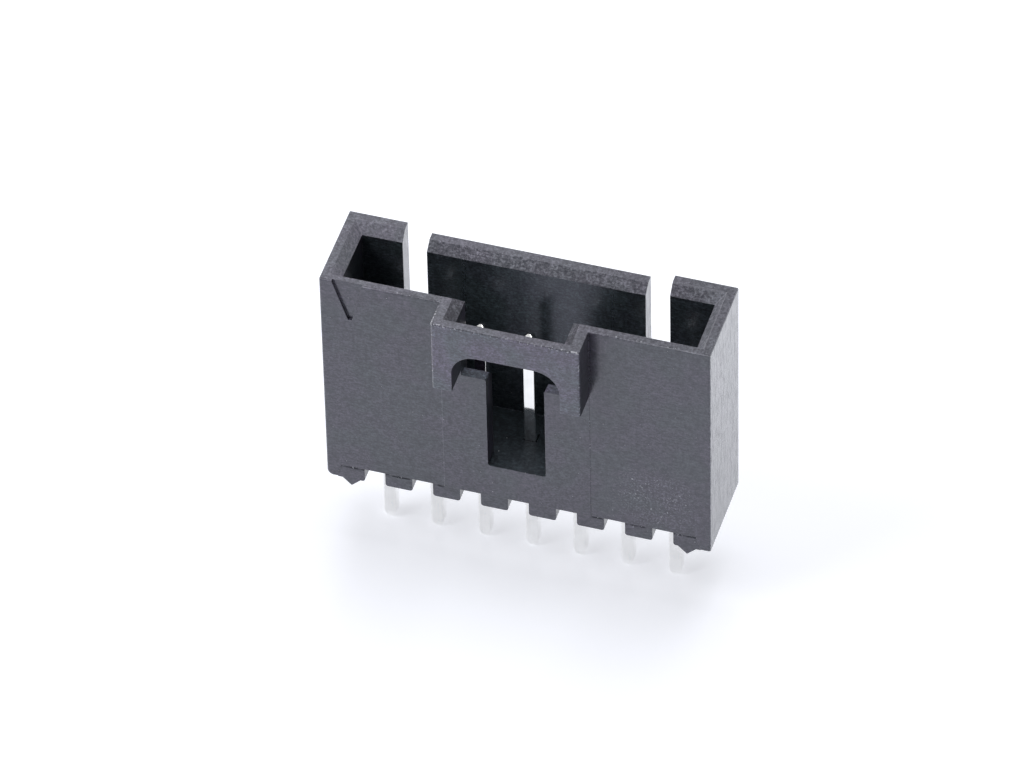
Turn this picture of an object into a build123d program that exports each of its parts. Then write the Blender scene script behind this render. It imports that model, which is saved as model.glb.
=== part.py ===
"""Shrouded 2.54 mm pin header with a latch strap over a slotted front wall.

Millimetres, +Z up. The board surface is z = 0, the pin row runs along X through the origin,
and the latch strap faces -Y.
"""

import math
import os

from build123d import *

os.makedirs("parts", exist_ok=True)

# Pin row
pitch = 2.54
pin_count = 7
end_margin = 2.54

# Pins
pin_width = 0.64
pin_height = 10.4
pin_corner_radius = 0.07
tail_length = 4.5
tip_taper_length = 0.4
tip_taper_inset = 0.15
nose_length = 0.06
nose_width = 0.1
tail_taper_length = 0.45
tail_taper_inset = 0.11
pin_clearance = 0.02
barb_start = 0.6
barb_length = 0.7
barb_depth = 0.3

# Housing shell
housing_depth = 5.08
housing_height = 13.9
wall = 0.95
floor_thickness = 2.15
corner_radius = 0.1
rim_radius = 0.08
lead_in_width = 0.5
lead_in_depth = 0.55

# Board standoffs
standoff_height = 0.95
standoff_gap = 1.1
standoff_depth = 1.2
standoff_setback = 0.08
standoff_corner_radius = 0.15
end_rail_width = 0.76
end_rail_foot = 0.54
end_rail_lift = 0.06
end_rail_radius = 0.12
pin_1_rail_radius = 0.35
crush_rib_width = 0.95
crush_rib_height = 0.46

# Latch strap, its arched window and the slotted wall behind it
strap_width = 7.75
strap_reach = 1.575
strap_bottom = 9.45
strap_side = 1.055
strap_corner_radius = 0.15
arch_top = 12.05
arch_radius = 1.35
shoulder_height = 9.15
shoulder_radius = 0.1
shoulder_slope_width = 0.4
shoulder_slope_depth = 0.45
latch_slot_width = 3.05
latch_slot_radius = 0.15
core_step = 0.03

# Keying slots in the rear wall and the lower panel between them
key_slot_pins_from_middle = 2.5
key_slot_offset = -0.1
key_slot_width = 1.27
rear_panel_drop = 0.4
rear_slope_depth = 0.45

# Pin 1 mark
mark_width = 1.6
mark_tip_width = 0.2
mark_height = 2.5
mark_depth = 0.15
mark_from_end = 0.66

# Sizes that follow from the ones above
row_length = pitch * (pin_count - 1)
housing_length = row_length + 2 * end_margin
half_depth = housing_depth / 2
inner_length = housing_length - 2 * wall
inner_depth = housing_depth - 2 * wall
inner_y = inner_depth / 2
floor_top = standoff_height + floor_thickness
hole_width = pin_width + 2 * pin_clearance
lead_in_angle = math.degrees(math.atan2(lead_in_width, lead_in_depth))
standoff_width = pitch - standoff_gap
standoff_y = half_depth - standoff_setback - standoff_depth / 2
strap_front = half_depth + strap_reach
strap_opening = strap_width - 2 * strap_side
strap_inner_y = strap_front - wall
key_slot_x = key_slot_pins_from_middle * pitch
rear_panel_length = 2 * key_slot_x - key_slot_width
rear_panel_top = housing_height - rear_panel_drop
above_top = housing_height + wall
core_front = half_depth + core_step
end_foot_x = row_length / 2 + pitch / 2

with BuildPart() as housing:
    with BuildSketch(Plane.XY.offset(standoff_height)):
        Rectangle(housing_length, housing_depth)
    extrude(amount=housing_height - standoff_height)

    # Feet: a row of standoffs between the pins on each side, and a rail at each end
    with BuildSketch(Plane.XY):
        with GridLocations(pitch, 2 * standoff_y, pin_count + 1, 2):
            Rectangle(standoff_width, standoff_depth)
    extrude(amount=standoff_height)
    fillet(
        housing.edges()
        .filter_by(Axis.Y)
        .filter_by(lambda e: abs(e.center().Z) < 1e-4 and abs(e.center().X) < end_foot_x),
        radius=standoff_corner_radius,
    )
    with BuildSketch(Plane.XZ):
        for side, radius in ((-1, pin_1_rail_radius), (1, end_rail_radius)):
            Polygon(
                (side * housing_length / 2, end_rail_lift),
                (side * housing_length / 2, standoff_height),
                (side * (housing_length / 2 - end_rail_width), standoff_height),
                (side * (housing_length / 2 - end_rail_foot), end_rail_lift),
                align=None,
            )
            fillet(
                vertices()
                .filter_by(lambda v: abs(v.X - side * housing_length / 2) < 1e-4)
                .sort_by(Axis.Y)[0],
                radius=radius,
            )
    extrude(amount=half_depth, both=True)
    fillet(
        housing.edges()
        .filter_by(Axis.Z)
        .filter_by(lambda e: abs(abs(e.center().X) - housing_length / 2) < 1e-4)
        .filter_by(lambda e: e.center().Y < 0),
        radius=corner_radius,
    )

    # Front face between the mould lines that run down from the strap's sides
    with BuildSketch(Plane.XZ.offset(half_depth)):
        with Locations((0, standoff_height)):
            Rectangle(
                strap_width,
                strap_bottom - standoff_height,
                align=(Align.CENTER, Align.MIN),
            )
    extrude(amount=core_step)

    # Strap block that stands out of the front wall
    with BuildSketch(Plane.XY.offset(strap_bottom)):
        with Locations((0, -strap_front)):
            Rectangle(strap_width, strap_reach + wall / 2, align=(Align.CENTER, Align.MIN))
    extrude(amount=housing_height - strap_bottom)
    fillet(
        housing.edges()
        .filter_by(Axis.Z)
        .filter_by(lambda e: abs(e.center().Y + strap_front) < 1e-4),
        radius=strap_corner_radius,
    )

    # Rounded outer edge along the front of the top
    fillet(
        housing.faces()
        .sort_by(Axis.Z)[-1]
        .edges()
        .filter_by(lambda e: e.center().Y < 1e-4 - half_depth),
        radius=rim_radius,
    )

    # Cavity for the plug, and the room for its latch behind the strap
    with BuildSketch(Plane.XY.offset(floor_top)):
        Rectangle(inner_length, inner_depth)
    extrude(amount=above_top - floor_top, mode=Mode.SUBTRACT)
    with BuildSketch(Plane.XY.offset(shoulder_height)):
        Rectangle(strap_opening, core_front, align=(Align.CENTER, Align.MAX))
    extrude(amount=above_top - shoulder_height, mode=Mode.SUBTRACT)
    with BuildSketch(Plane.XY.offset(strap_bottom)):
        with Locations((0, -half_depth)):
            Rectangle(
                strap_opening,
                strap_inner_y - half_depth,
                align=(Align.CENTER, Align.MAX),
            )
    extrude(amount=above_top - strap_bottom, mode=Mode.SUBTRACT)

    # Lead-in slope around the mouth, widest at the top
    with BuildSketch(Plane.XY.offset(housing_height)):
        Rectangle(inner_length + 2 * lead_in_width, inner_depth + 2 * lead_in_width)
        with Locations((0, -strap_inner_y - lead_in_width)):
            Rectangle(
                strap_opening + 2 * lead_in_width,
                strap_inner_y + lead_in_width,
                align=(Align.CENTER, Align.MIN),
            )
    extrude(amount=-lead_in_depth, taper=lead_in_angle, mode=Mode.SUBTRACT)

    # Rear panel between the keying slots, a little lower than the ends, with its own slope
    with BuildSketch(Plane.YZ.offset(key_slot_offset)):
        Polygon(
            (inner_y, rear_panel_top - rear_slope_depth),
            (inner_y + lead_in_width, rear_panel_top),
            (half_depth + wall, rear_panel_top),
            (half_depth + wall, above_top),
            (inner_y, above_top),
            align=None,
        )
    extrude(amount=rear_panel_length / 2, both=True, mode=Mode.SUBTRACT)

    # Keying slots, open at the top
    with BuildSketch(Plane.XY.offset(floor_top)):
        with Locations((key_slot_offset - key_slot_x, 0), (key_slot_offset + key_slot_x, 0)):
            Rectangle(key_slot_width, housing_depth, align=(Align.CENTER, Align.MIN))
    extrude(amount=above_top - floor_top, mode=Mode.SUBTRACT)

    # Latch slot down the front wall, with rounded corners at its foot
    with BuildSketch(Plane.XZ):
        with Locations((0, floor_top)):
            Rectangle(
                latch_slot_width,
                shoulder_height - floor_top,
                align=(Align.CENTER, Align.MIN),
            )
        fillet(
            vertices().filter_by(lambda v: abs(v.Y - floor_top) < 1e-4),
            radius=latch_slot_radius,
        )
    extrude(amount=core_front, mode=Mode.SUBTRACT)
    fillet(
        housing.edges()
        .filter_by(Axis.Y)
        .filter_by(lambda e: abs(e.center().Z - shoulder_height) < 1e-4)
        .filter_by(lambda e: abs(abs(e.center().X) - latch_slot_width / 2) < 1e-4),
        radius=shoulder_radius,
    )

    # Slope on the inner edge of the shoulders
    with BuildSketch(Plane.YZ):
        Polygon(
            (-inner_y, shoulder_height - shoulder_slope_depth),
            (-inner_y - shoulder_slope_width, shoulder_height),
            (-inner_y, shoulder_height),
            align=None,
        )
    extrude(amount=strap_opening / 2, both=True, mode=Mode.SUBTRACT)

    # Arched window through the strap, open below
    with BuildSketch(Plane.XZ.offset(strap_inner_y)):
        with Locations((0, strap_bottom)):
            Rectangle(
                strap_opening,
                arch_top - strap_bottom,
                align=(Align.CENTER, Align.MIN),
            )
        fillet(
            vertices().filter_by(lambda v: abs(v.Y - arch_top) < 1e-4),
            radius=arch_radius,
        )
    extrude(amount=2 * wall, mode=Mode.SUBTRACT)

    # Pin 1 mark, open at the top edge
    with BuildSketch(Plane.XZ.offset(half_depth - mark_depth)):
        with Locations((-housing_length / 2 + mark_from_end + mark_width / 2, housing_height)):
            Polygon(
                (-mark_width / 2, 0),
                (mark_width / 2, 0),
                (mark_tip_width, -mark_height),
                (0, -mark_height),
                align=None,
            )
    extrude(amount=2 * mark_depth, mode=Mode.SUBTRACT)

    # Crush ribs under the standoffs at the two ends
    for side in (-1, 1):
        with BuildSketch(Plane.XZ.offset(-side * standoff_y - standoff_depth / 2)):
            with Locations((-end_foot_x, 0), (end_foot_x, 0)):
                Polygon(
                    (-crush_rib_width / 2, 0),
                    (crush_rib_width / 2, 0),
                    (0, -crush_rib_height),
                    align=None,
                )
        extrude(amount=standoff_depth)

    # Holes that the pins are pressed into
    with BuildSketch(Plane.XY.offset(standoff_height)):
        with GridLocations(pitch, 0, pin_count, 1):
            Rectangle(hole_width, hole_width)
    extrude(amount=floor_thickness, mode=Mode.SUBTRACT)

housing.part.label = "housing"
export_step(housing.part, "parts/housing.step")

barb_bottom = standoff_height + barb_start
tip_width = pin_width - 2 * tip_taper_inset
tip_base = pin_height - nose_length - tip_taper_length
pin_sections = (
    (-tail_length, pin_width - 2 * tail_taper_inset),
    (tail_taper_length - tail_length, pin_width),
    (tip_base, pin_width),
    (pin_height - nose_length, tip_width),
    (pin_height, nose_width),
)

for number in range(pin_count):
    pin_x = number * pitch - row_length / 2

    with BuildPart() as pin:
        for height, width in pin_sections:
            with BuildSketch(Plane.XY.offset(height)):
                with Locations((pin_x, 0)):
                    RectangleRounded(width, width, pin_corner_radius * width / pin_width)
        loft(ruled=True)

        # Barbs that bear on the sides of the hole
        with BuildSketch(Plane.XZ):
            with Locations((pin_x, barb_bottom)):
                Polygon(
                    (-pin_width / 2, 0),
                    (pin_width / 2, 0),
                    (hole_width / 2, barb_length / 2),
                    (hole_width / 2, barb_length),
                    (-hole_width / 2, barb_length),
                    (-hole_width / 2, barb_length / 2),
                    align=None,
                )
        extrude(amount=barb_depth / 2, both=True)

    pin.part.label = f"pin_{number + 1}"
    export_step(pin.part, f"parts/pin_{number + 1}.step")
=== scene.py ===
"""Looks for the shrouded pin header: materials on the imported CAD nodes, floor, light and camera."""

import math

import bpy
from mathutils import Matrix, Vector


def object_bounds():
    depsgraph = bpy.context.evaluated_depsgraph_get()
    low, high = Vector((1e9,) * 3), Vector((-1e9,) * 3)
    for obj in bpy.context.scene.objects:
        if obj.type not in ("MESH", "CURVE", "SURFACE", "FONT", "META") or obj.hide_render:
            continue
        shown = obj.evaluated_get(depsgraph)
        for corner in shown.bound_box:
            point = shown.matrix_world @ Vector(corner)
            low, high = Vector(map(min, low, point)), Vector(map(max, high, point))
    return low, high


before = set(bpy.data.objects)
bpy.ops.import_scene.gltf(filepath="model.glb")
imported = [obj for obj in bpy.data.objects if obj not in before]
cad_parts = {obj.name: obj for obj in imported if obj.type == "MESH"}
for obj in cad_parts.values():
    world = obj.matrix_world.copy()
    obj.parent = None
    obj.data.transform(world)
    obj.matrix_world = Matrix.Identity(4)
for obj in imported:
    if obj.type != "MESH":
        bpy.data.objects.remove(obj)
cad_box = [list(corner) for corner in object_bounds()]

MM = 0.001

# Outer faces of the header, from the CAD's box
END_X = cad_box[1][0]
STRAP_FRONT = cad_box[0][1]
BACK_Y = cad_box[1][1]
FLOOR_Z = cad_box[0][2]
TOP_Z = cad_box[1][2]

# Places on the housing that its material follows
WALL_FRONT = -BACK_Y
CAVITY_BACK = BACK_Y - 0.95 * MM
CAVITY_FLOOR = 3.1 * MM
SEAM_X = 3.875 * MM
STRAP_BOTTOM = 9.45 * MM
SHOULDER_TOP = 9.15 * MM
RIM_Z = TOP_Z - 0.9 * MM
RIM_MITRE = END_X - BACK_Y
FOOT_TOP = 0.95 * MM
FOOT_FRONT = WALL_FRONT + 0.08 * MM
PATCH_X = 7.4 * MM
PATCH_Z = 2.8 * MM
PATCH_RADIUS = 3.3 * MM
PATCH_CORE = 0.8 * MM

# Where marks along the header start and end: the smoother ends of the rim, painted lighter as a
# reflection, the painted highlight on the crest at its far end, the land's painted reflection that
# changes slowly from end to end, and the dots that thicken to the strap's corners
SMOOTH_PIN_1 = (-5.5 * MM, -7.0 * MM)
SMOOTH_FAR = (8.0 * MM, 9.0 * MM)
CREST_HIGHLIGHT = (5.0 * MM, 7.0 * MM)
LAND_REFLECTION_CHANGE = (-9.5 * MM, 9.5 * MM)
TO_CORNERS = (1.5 * MM, 3.7 * MM)

# Small sizes of the surface
EDGE_RADIUS = 0.035 * MM
PLASTIC_RELIEF = 0.01 * MM
TIN_RELIEF = 0.002 * MM

# Colours of the housing: the plastic, also on its rim, with painted shade in its pit and painted
# light on the cavity's rear wall, and the pale marks on it, some of them painted highlights
COOL_BLACK = (0.023, 0.029, 0.035, 1.0)
WARM_BLACK = (0.034, 0.028, 0.046, 1.0)
RIM_BLACK = (0.030, 0.030, 0.034, 1.0)
PIT_SHADE_BLACK = (0.018, 0.026, 0.030)
REAR_LIT_BLACK = (0.050, 0.068, 0.074)
SCUFF_AND_HIGHLIGHT_GREY = (0.40, 0.40, 0.45, 1.0)
DOT_GREY = (0.60, 0.61, 0.66, 1.0)
EDGE_HIGHLIGHT_GREY = (0.75, 0.76, 0.80, 1.0)
PLASTIC_SHEEN = (0.80, 0.82, 1.0, 1.0)

# Colours of the pins
TIN_GREY = (0.86, 0.86, 0.845, 1.0)
TIN_WHITE = (0.93, 0.93, 0.92, 1.0)

# Floor, whose glow grows from the header to a place behind it, and world
FLOOR_HALF = 2.0
FLOOR_COLOUR = (0.69, 0.71, 0.77, 1.0)
GLOW_COLOUR = (0.945, 0.955, 1.0, 1.0)
GLOW_AT_HEADER = 0.585
GLOW_BEHIND = 0.69
GLOW_BEHIND_Y = 20.0 * MM
WORLD_LIGHT = 0.1
MIRRORED_DARK = 0.15

# The place in the housing that the lamps look at
LAMP_TARGET = (0.0, 0.0, 5.0 * MM)

# Camera, fitted to measured corners of the photograph
CAMERA_RIGHT = (0.956335, 0.291768, -0.017159)
CAMERA_UP = (-0.193141, 0.674946, 0.712140)
CAMERA_BACK = (0.219361, -0.677731, 0.701827)
CAMERA_PLACE = (98.520 * MM, -307.410 * MM, 324.919 * MM)
FOCAL_PIXELS = 9000.0
PHOTO_WIDTH_PIXELS = 1024.0
SENSOR_WIDTH = 36.0


# Node helpers
class Nodes:
    """One node tree. Its helpers take a number, a colour or another node's output."""

    def __init__(self, tree):
        self.tree = tree
        tree.nodes.clear()

    def add(self, kind, **settings):
        node = self.tree.nodes.new(kind)
        for key, value in settings.items():
            setattr(node, key, value)
        return node

    def put(self, socket, value):
        if isinstance(value, bpy.types.NodeSocket):
            self.tree.links.new(value, socket)
        else:
            socket.default_value = value

    def coordinates(self, kind):
        return self.add("ShaderNodeTexCoord").outputs[kind]

    def axes(self, vector):
        node = self.add("ShaderNodeSeparateXYZ")
        self.put(node.inputs[0], vector)
        return tuple(node.outputs)

    def math(self, operation, a, b=0.0, clamp=False):
        node = self.add("ShaderNodeMath", operation=operation, use_clamp=clamp)
        self.put(node.inputs[0], a)
        self.put(node.inputs[1], b)
        return node.outputs[0]

    def chain(self, operation, values):
        result = values[0]
        for value in values[1:]:
            result = self.math(operation, result, value)
        return result

    def times(self, *values):
        return self.chain("MULTIPLY", values)

    def plus(self, *values):
        return self.chain("ADD", values)

    def most(self, *values):
        return self.chain("MAXIMUM", values)

    def minus(self, a, b):
        return self.math("SUBTRACT", a, b)

    def absolute(self, value):
        return self.math("ABSOLUTE", value)

    def ramp(self, value, low, high, to_low=0.0, to_high=1.0, shape="SMOOTHSTEP"):
        node = self.add("ShaderNodeMapRange", interpolation_type=shape)
        self.put(node.inputs["Value"], value)
        self.put(node.inputs["From Min"], low)
        self.put(node.inputs["From Max"], high)
        self.put(node.inputs["To Min"], to_low)
        self.put(node.inputs["To Max"], to_high)
        return node.outputs["Result"]

    def mask(self, value, place, start, full):
        """0 where the value is start mm from the place, and 1 where it is full mm from it."""
        return self.ramp(value, place + start * MM, place + full * MM)

    def blend(self, mask, without, within):
        """One number where a mask is 0, and another where it is 1."""
        return self.ramp(mask, 0.0, 1.0, without, within)

    def noise(self, scale, detail, rough):
        """Noise with this many cells to a metre: one number for all axes, or one for each."""
        if not isinstance(scale, tuple):
            scale = (scale, scale, scale)
        scaled = self.add("ShaderNodeVectorMath", operation="MULTIPLY")
        self.put(scaled.inputs[0], self.coordinates("Object"))
        self.put(scaled.inputs[1], scale)
        node = self.add("ShaderNodeTexNoise")
        self.put(node.inputs["Vector"], scaled.outputs["Vector"])
        self.put(node.inputs["Scale"], 1.0)
        self.put(node.inputs["Detail"], detail)
        self.put(node.inputs["Roughness"], rough)
        return node.outputs["Fac"]

    def mix(self, factor, a, b):
        node = self.add("ShaderNodeMix", data_type="RGBA")
        self.put(node.inputs["Factor"], factor)
        self.put(node.inputs["A"], a)
        self.put(node.inputs["B"], b)
        return node.outputs["Result"]

    def shade(self, colour, amount):
        """The colour made lighter or darker by a factor near 1."""
        node = self.add("ShaderNodeVectorMath", operation="SCALE")
        self.put(node.inputs[0], colour)
        self.put(node.inputs["Scale"], amount)
        return node.outputs["Vector"]

    def bump(self, height, strength, distance):
        node = self.add("ShaderNodeBump")
        self.put(node.inputs["Height"], height)
        self.put(node.inputs["Strength"], strength)
        self.put(node.inputs["Distance"], distance)
        return node

    def shader(self, sockets):
        """The material's surface: a Principled shader with these sockets set or linked."""
        node = self.add("ShaderNodeBsdfPrincipled")
        for name, value in sockets.items():
            self.put(node.inputs[name], value)
        output = self.add("ShaderNodeOutputMaterial")
        self.put(output.inputs["Surface"], node.outputs[0])


def new_material(name):
    material = bpy.data.materials.new(name)
    material.use_nodes = True
    return material


class HousingNodes(Nodes):
    """The plastic's nodes: masks of the places that differ, its grain, and what both make.

    A mask is 1 on its place and 0 away from it, with a soft limit.
    """

    def __init__(self, tree):
        super().__init__(tree)
        self.x, self.y, self.z = self.axes(self.coordinates("Object"))
        self.across = self.absolute(self.x)
        self.beside_seam = self.minus(self.across, SEAM_X)
        self.off_seam = self.absolute(self.beside_seam)
        self.normal = self.add("ShaderNodeNewGeometry").outputs["True Normal"]
        self.find_faces()
        self.find_grain()
        self.find_marks()
        self.find_edges()

    def find_faces(self):
        facing_x, facing_y, facing_z = self.axes(self.normal)
        self.end_face = self.ramp(self.absolute(facing_x), 0.6, 0.9)
        self.upward = self.ramp(facing_z, 0.3, 0.6)

        # The rim is its slopes and the flat land above them. The tops are the rim and the
        # shoulders.
        self.rim = self.times(self.upward, self.mask(self.z, RIM_Z, -0.2, 0.0))
        self.land = self.times(self.ramp(facing_z, 0.85, 0.95), self.rim)
        # Slopes of the rim that face the far end, which get painted light
        self.inward_painted_light = self.times(self.rim, self.ramp(facing_x, 0.2, 0.5))
        self.tops = self.times(self.upward, self.mask(self.z, SHOULDER_TOP, -0.85, -0.65))
        # Painted shade: the cavity floor is drawn darker and cooler
        self.pit_shade = self.times(self.upward, self.mask(self.z, CAVITY_FLOOR, 0.9, -0.1))

        # The cavity's rear wall and the strap's outer faces, which get painted light, the strap's sides,
        # which get painted shade, and the long outer walls
        self.rear_painted_light = self.times(
            self.ramp(facing_y, -0.8, -0.95), self.mask(self.y, CAVITY_BACK, -0.59, -0.39)
        )
        # Painted light: the strap's outer faces are drawn lighter than the wall
        self.strap_painted_light = self.times(
            self.mask(self.y, STRAP_FRONT, 0.215, 0.065), self.minus(1.0, self.upward)
        )
        # Painted shade: the strap's sides, which face the ends, are drawn darker
        self.flank_shade = self.times(self.end_face, self.mask(self.y, WALL_FRONT, 0.04, -0.11))
        self.long_wall = self.times(
            self.ramp(self.absolute(facing_y), 0.6, 0.9),
            self.mask(self.absolute(self.y), BACK_Y, -0.34, -0.24),
        )

        # Parts of the rim that came out smoother: its pin 1 end, its far end, and the land. They get
        # less grain and a painted reflection
        ends = self.most(
            self.ramp(self.x, *SMOOTH_PIN_1),
            self.ramp(self.x, *SMOOTH_FAR, 0.0, 0.6),
            self.land,
        )
        self.smooth = self.times(self.rim, ends)

    def find_grain(self):
        """Fine grain, broad mottling, and short streaks along the mould's polish on each side."""
        self.cloud = self.noise(480.0, 3.0, 0.5)
        self.grain = self.noise(7500.0, 3.0, 0.75)
        self.speckle = self.noise(9000.0, 1.5, 0.7)
        self.scratch = self.noise((7000.0, 5000.0, 7000.0), 2.0, 0.6)
        mottle = self.noise(2400.0, 3.0, 0.7)
        along = self.noise((3600.0, 14000.0, 14000.0), 2.0, 0.6)
        upright = self.noise((12000.0, 12000.0, 1500.0), 2.0, 0.6)
        self.streak = self.mix(self.end_face, along, upright)

        # The texture is a factor around 1, and the smooth parts have less of it
        level = self.times(
            self.ramp(self.grain, 0.32, 0.68, 0.45, 1.6),
            self.ramp(self.streak, 0.32, 0.68, 0.6, 1.4),
            self.ramp(mottle, 0.32, 0.68, 0.7, 1.3),
        )
        calm = self.times(self.minus(1.0, level), self.times(self.smooth, 0.55))
        self.texture = self.plus(level, calm)

    def find_marks(self):
        # A mould line below the strap's side that is nearer pin 1, painted as a pale highlight on the
        # edge that catches the light
        self.seam_highlight = self.times(
            self.mask(self.off_seam, 0.0, 0.05, 0.02),
            self.mask(self.y, WALL_FRONT, 0.04, 0.01),
            self.mask(self.z, STRAP_BOTTOM, 0.0, -0.1),
            self.mask(self.x, 0.0, 0.0, -1.0),
        )

        # A broken line of painted shade where the feet leave the wall under its overhang, strongest
        # outside the mould lines. Pale flecks gather along it too
        self.root = self.times(
            self.mask(self.absolute(self.minus(self.y, FOOT_FRONT)), 0.0, 0.03, 0.01),
            self.mask(self.z, FOOT_TOP, -0.23, -0.19),
            self.ramp(self.noise(2600.0, 2.0, 0.6), 0.35, 0.6, 0.1, 0.75),
            self.ramp(self.beside_seam, -0.1 * MM, 0.1 * MM, 0.1, 1.0),
        )

        # A round patch low on the front that is rough from the mould, like the tops
        off_x = self.math("POWER", self.minus(self.x, PATCH_X), 2.0)
        off_z = self.math("POWER", self.minus(self.z, PATCH_Z), 2.0)
        distance = self.math("SQRT", self.plus(off_x, off_z))
        self.patch = self.times(
            self.ramp(distance, PATCH_RADIUS, PATCH_CORE), self.mask(self.y, WALL_FRONT, 0.14, 0.04)
        )
        self.rough = self.most(self.tops, self.times(self.patch, 0.7))

        # Folds in the rim, where its slopes meet and along their top at the far end, painted as pale
        # highlight lines
        mitre = self.absolute(self.minus(self.minus(self.across, self.absolute(self.y)), RIM_MITRE))
        mitre = self.mask(mitre, 0.0, 0.06, 0.02)
        crest = self.times(self.mask(self.z, TOP_Z, -0.1, -0.04), self.ramp(self.x, *CREST_HIGHLIGHT))
        self.fold_highlight = self.times(self.most(mitre, crest), self.minus(self.rim, self.land))

    def find_edges(self):
        """Edges that a small bevel turns. It is left out where the strap's sides meet the wall."""
        corner = self.mask(self.off_seam, 0.0, 0.12, 0.06)
        inside = self.times(
            corner,
            self.mask(self.y, WALL_FRONT, -0.21, -0.11),
            self.mask(self.z, STRAP_BOTTOM, -0.1, 0.0),
        )
        bevel = self.add("ShaderNodeBevel", samples=6)
        self.put(bevel.inputs["Radius"], self.blend(inside, EDGE_RADIUS, 0.0))
        self.bevelled = bevel.outputs[0]
        turned = self.add("ShaderNodeVectorMath", operation="DOT_PRODUCT")
        self.put(turned.inputs[0], self.bevelled)
        self.put(turned.inputs[1], self.normal)
        self.edge = self.ramp(turned.outputs["Value"], 0.99, 0.85)

        # The strap's top edge in front and at the pin 1 side, and its two upright front edges
        front_or_side = self.most(
            self.mask(self.y, STRAP_FRONT, 0.095, 0.055), self.mask(self.x, -SEAM_X, 0.115, 0.055)
        )
        self.strap_edge = self.times(
            front_or_side,
            self.mask(self.y, WALL_FRONT, -0.06, -0.26),
            self.mask(self.z, TOP_Z, -0.2, -0.08),
        )
        self.upright_edge = self.times(corner, self.mask(self.y, STRAP_FRONT, 0.165, 0.115))

    def colour_with_strap_light(self):
        colour = self.mix(self.ramp(self.cloud, 0.38, 0.62), COOL_BLACK, WARM_BLACK)
        colour = self.mix(self.times(self.rim, 0.85), colour, RIM_BLACK)
        # Painted light: the strap's outer faces lighter
        return self.shade(colour, self.times(self.texture, self.blend(self.strap_painted_light, 1.0, 2.6)))

    def level(self):
        """How light the plastic is: grain, lighter tops, painted light and painted reflection."""
        uneven = self.plus(
            self.times(self.rough, self.ramp(self.speckle, 0.35, 0.65, -0.7, 0.9)),
            self.times(self.rim, self.ramp(self.scratch, 0.35, 0.65, -1.0, 1.1)),
        )
        # The rim lighter, and the smoother parts lighter still: a painted reflection
        painted_light = self.plus(self.blend(self.rim, 1.0, 2.5), self.times(self.smooth, 3.0))
        # The land's painted reflection, less towards the far end
        land = self.times(self.land, self.ramp(self.x, *LAND_REFLECTION_CHANGE, 1.9, 3.8))
        # Painted light on the rim's slopes that face the far end, and the tops lighter
        painted_light = self.plus(self.minus(painted_light, land), self.times(self.inward_painted_light, 0.7), self.tops)
        return self.plus(uneven, painted_light)

    def dots(self):
        """Pale dots: dense at the strap's corners, less so on edges, along the feet's seam and in
        the patch, and rare on the rest."""
        to_corners = self.ramp(self.across, *TO_CORNERS, 0.13, 0.28)
        pull = self.plus(
            self.times(self.edge, 0.14),
            self.times(self.strap_edge, to_corners),
            self.times(self.upright_edge, 0.18),
            self.times(self.patch, 0.10),
            self.times(self.root, 0.22),
        )
        return self.ramp(self.plus(self.noise(8000.0, 1.0, 0.5), pull), 0.78, 0.84)

    def end_edge_highlight(self):
        """The ends' front edges, with a painted highlight as a pale line."""
        return self.times(
            self.mask(self.y, WALL_FRONT, 0.14, 0.06),
            self.mask(self.across, END_X, -0.06, -0.01),
            self.ramp(self.grain, 0.3, 0.6, 0.2, 0.8),
            self.end_face,
        )

    def colour(self):
        colour = self.colour_with_strap_light()
        # Painted highlight: lighter along the mould line nearer pin 1
        colour = self.shade(colour, self.plus(self.times(self.seam_highlight, 0.8), 1.0))
        # Painted shade: much darker along the feet's broken seam
        colour = self.shade(colour, self.blend(self.root, 1.0, 0.05))
        colour = self.shade(colour, self.level())
        granular = self.times(self.patch, self.ramp(self.speckle, 0.5, 0.7, 0.0, 0.3))
        colour = self.mix(granular, colour, SCUFF_AND_HIGHLIGHT_GREY)
        # Painted highlight: pale lines on the rim's folds
        colour = self.mix(self.times(self.fold_highlight, 0.3), colour, SCUFF_AND_HIGHLIGHT_GREY)
        # Painted shade: darker, cooler plastic on the cavity floor
        colour = self.mix(self.pit_shade, colour, self.shade(PIT_SHADE_BLACK, self.texture))
        # Painted highlight: a pale line along the rim's edges
        colour = self.mix(self.times(self.edge, self.rim, 0.6), colour, SCUFF_AND_HIGHLIGHT_GREY)
        colour = self.mix(self.times(self.dots(), 0.8), colour, DOT_GREY)
        # Painted highlight: a pale line on the ends' front edges
        colour = self.mix(self.end_edge_highlight(), colour, EDGE_HIGHLIGHT_GREY)
        # Painted light: a lighter, cooler copy of the plastic on the cavity's rear wall
        colour = self.mix(self.times(self.rear_painted_light, 0.6), colour, self.shade(REAR_LIT_BLACK, self.texture))
        # Painted shade: the strap's sides darker
        return self.shade(colour, self.blend(self.flank_shade, 1.0, 0.4))

    def roughness(self):
        gloss = self.ramp(self.grain, 0.2, 0.8, 0.28, 0.4)
        dull = self.times(self.upward, self.blend(self.most(self.land, self.pit_shade), 0.25, 0.05))
        dull = self.most(dull, self.times(self.root, 0.5), self.times(self.flank_shade, 0.35))
        return self.plus(gloss, dull)

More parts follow.
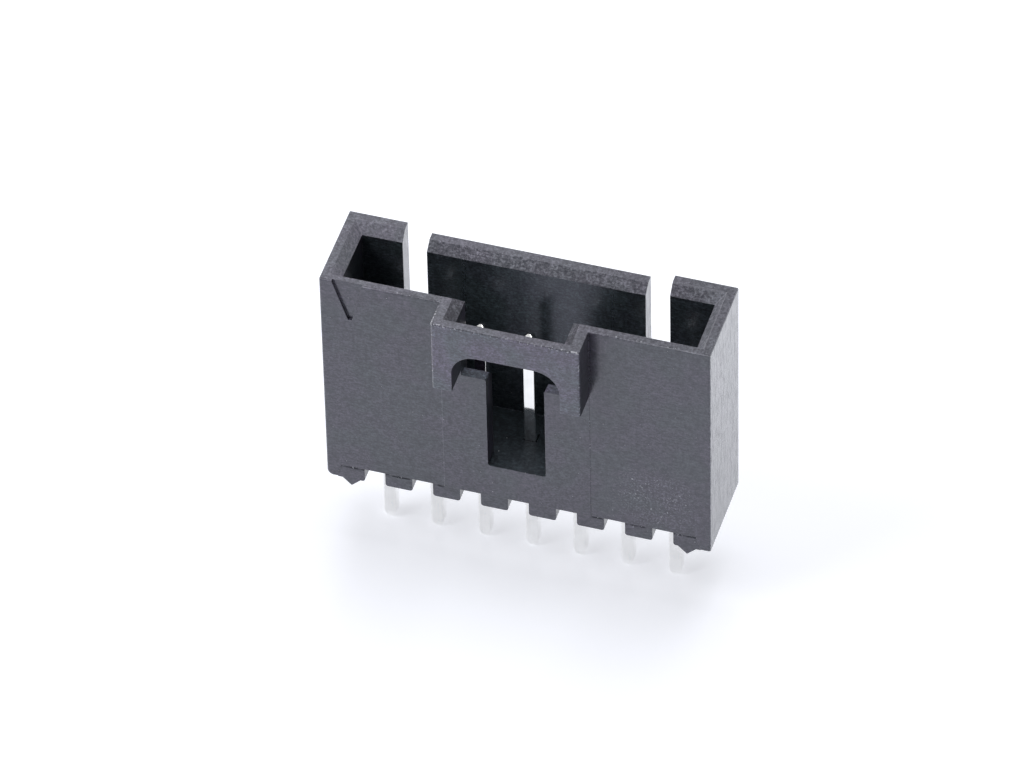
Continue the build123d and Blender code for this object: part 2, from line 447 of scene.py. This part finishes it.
    def coat(self):
        """The outer walls, the ends, the cuts in the rear wall and the feet's sides come out of
        the mould glossier than the rest, and what faces an end is brushed."""
        sides = self.most(
            self.mask(self.across, END_X, -0.26, -0.06),
            self.mask(self.y, CAVITY_BACK, -0.19, 0.01),
            self.mask(self.z, FOOT_TOP, 0.0, -0.1),
        )
        to_strap = self.ramp(self.y, WALL_FRONT - 0.46 * MM, STRAP_FRONT + 0.115 * MM, 0.82, 1.0)
        polish = self.most(self.times(self.end_face, sides), self.times(self.long_wall, to_strap))
        polish = self.times(polish, self.blend(self.root, 1.0, 0.0))
        brushed = self.ramp(self.noise((9000.0, 9000.0, 900.0), 4.0, 0.8), 0.38, 0.62, 0.47, 1.36)
        brushed = self.blend(self.end_face, 1.0, brushed)
        coat = self.times(self.blend(polish, 0.12, 1.0), self.ramp(self.texture, 0.3, 1.8, 0.7, 1.3))
        return self.math("MULTIPLY", coat, brushed, clamp=True)

    def relief(self):
        height = self.plus(
            self.times(self.grain, 0.7),
            self.times(self.streak, 0.6),
            self.times(self.speckle, self.rough),
        )
        bump = self.bump(height, 0.7, PLASTIC_RELIEF)
        self.put(bump.inputs["Normal"], self.bevelled)
        return bump.outputs[0]


# Materials
def housing_plastic():
    material = new_material("housing_plastic")
    n = HousingNodes(material.node_tree)
    relief = n.relief()
    n.shader({
        "Base Color": n.colour(),
        "Roughness": n.roughness(),
        "IOR": 1.62,
        "Specular Tint": PLASTIC_SHEEN,
        "Coat Weight": n.coat(),
        "Coat Roughness": 0.16,
        "Normal": relief,
        "Coat Normal": relief,
    })
    return material


def tin_plate():
    material = new_material("tin_plate")
    n = Nodes(material.node_tree)
    drawn = n.noise((9000.0, 9000.0, 400.0), 2.0, 0.5)
    cloud = n.noise(1800.0, 2.0, 0.5)
    colour = n.mix(n.ramp(cloud, 0.3, 0.7), TIN_GREY, TIN_WHITE)
    n.shader({
        "Metallic": 1.0,
        "Base Color": n.shade(colour, n.ramp(drawn, 0.3, 0.7, 0.97, 1.02)),
        "Roughness": n.ramp(cloud, 0.25, 0.75, 0.05, 0.1),
        "Normal": n.bump(drawn, 0.15, TIN_RELIEF).outputs[0],
    })
    return material


def floor_white():
    """White where it is seen, mirrored or looked at through something, and a little brighter
    behind the header. It lights nothing else."""
    material = new_material("floor_white")
    n = Nodes(material.node_tree)
    path = n.add("ShaderNodeLightPath").outputs
    seen = n.most(path["Is Camera Ray"], path["Is Glossy Ray"], path["Is Transmission Ray"])
    _, y, _ = n.axes(n.coordinates("Object"))
    glow = n.ramp(y, 0.0, GLOW_BEHIND_Y, GLOW_AT_HEADER, GLOW_BEHIND)
    n.shader({
        "Base Color": FLOOR_COLOUR,
        "Roughness": 0.2,
        "Specular IOR Level": 0.35,
        "Emission Color": GLOW_COLOUR,
        "Emission Strength": n.times(seen, glow),
    })
    return material


def studio_world():
    """White where it is seen, the same with a dark camera side where it is mirrored, and a plain
    soft level where it lights."""
    world = bpy.data.worlds.new("studio")
    world.use_nodes = True
    n = Nodes(world.node_tree)
    path = n.add("ShaderNodeLightPath").outputs
    _, ray_y, ray_z = n.axes(n.coordinates("Generated"))
    camera_side = n.times(
        n.ramp(ray_y, -0.1, -0.5, shape="LINEAR"), n.ramp(ray_z, 0.1, 0.4, shape="LINEAR")
    )
    mirrored = n.times(
        path["Is Glossy Ray"], n.ramp(camera_side, 0.0, 1.0, 1.0, MIRRORED_DARK, shape="LINEAR")
    )
    shown = n.most(path["Is Camera Ray"], path["Is Transmission Ray"], mirrored)
    background = n.add("ShaderNodeBackground")
    n.put(background.inputs["Strength"], n.ramp(shown, 0.0, 1.0, WORLD_LIGHT, 1.0, shape="LINEAR"))
    output = n.add("ShaderNodeOutputWorld")
    n.put(output.inputs["Surface"], background.outputs[0])
    return world


# Stage
def add_floor():
    """A wide floor at the tips of the tails."""
    corners = [(-1, -1), (1, -1), (1, 1), (-1, 1)]
    mesh = bpy.data.meshes.new("floor")
    mesh.from_pydata([(i * FLOOR_HALF, j * FLOOR_HALF, FLOOR_Z) for i, j in corners], [], [(0, 1, 2, 3)])
    floor = bpy.data.objects.new("floor", mesh)
    bpy.context.collection.objects.link(floor)
    floor.data.materials.append(floor_white())
    return floor


def add_lamp(name, azimuth, elevation, distance, width, watts):
    """A soft round lamp, in degrees from the front and up, that looks at the target."""
    data = bpy.data.lights.new(name, "AREA")
    data.shape = "DISK"
    data.size = width
    data.energy = watts
    lamp = bpy.data.objects.new(name, data)
    bpy.context.collection.objects.link(lamp)
    a, e = math.radians(azimuth), math.radians(elevation)
    back = Vector((math.sin(a) * math.cos(e), -math.cos(a) * math.cos(e), math.sin(e)))
    lamp.location = [t + b * distance for t, b in zip(LAMP_TARGET, back)]
    lamp.rotation_mode = "QUATERNION"
    lamp.rotation_quaternion = back.to_track_quat("Z", "Y")


def add_camera():
    data = bpy.data.cameras.new("camera")
    data.sensor_width = SENSOR_WIDTH
    data.lens = FOCAL_PIXELS / PHOTO_WIDTH_PIXELS * SENSOR_WIDTH
    data.clip_start = 0.01
    data.clip_end = 10.0
    camera = bpy.data.objects.new("camera", data)
    bpy.context.collection.objects.link(camera)
    rows = [list(row) for row in zip(CAMERA_RIGHT, CAMERA_UP, CAMERA_BACK, CAMERA_PLACE)]
    camera.matrix_world = Matrix(rows + [[0.0, 0.0, 0.0, 1.0]])
    return camera


plastic = housing_plastic()
tin = tin_plate()
for name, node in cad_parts.items():
    finish = plastic if name == "housing" else tin
    for slot in node.material_slots:
        slot.material = finish

floor = add_floor()
bpy.context.scene.world = studio_world()
add_lamp("top_lamp", azimuth=180, elevation=78, distance=0.45, width=0.32, watts=1.1)
add_lamp("front_lamp", azimuth=-55, elevation=45, distance=0.6, width=0.3, watts=1.3)
bpy.context.scene.camera = add_camera()
bpy.context.scene.view_settings.view_transform = "Standard"
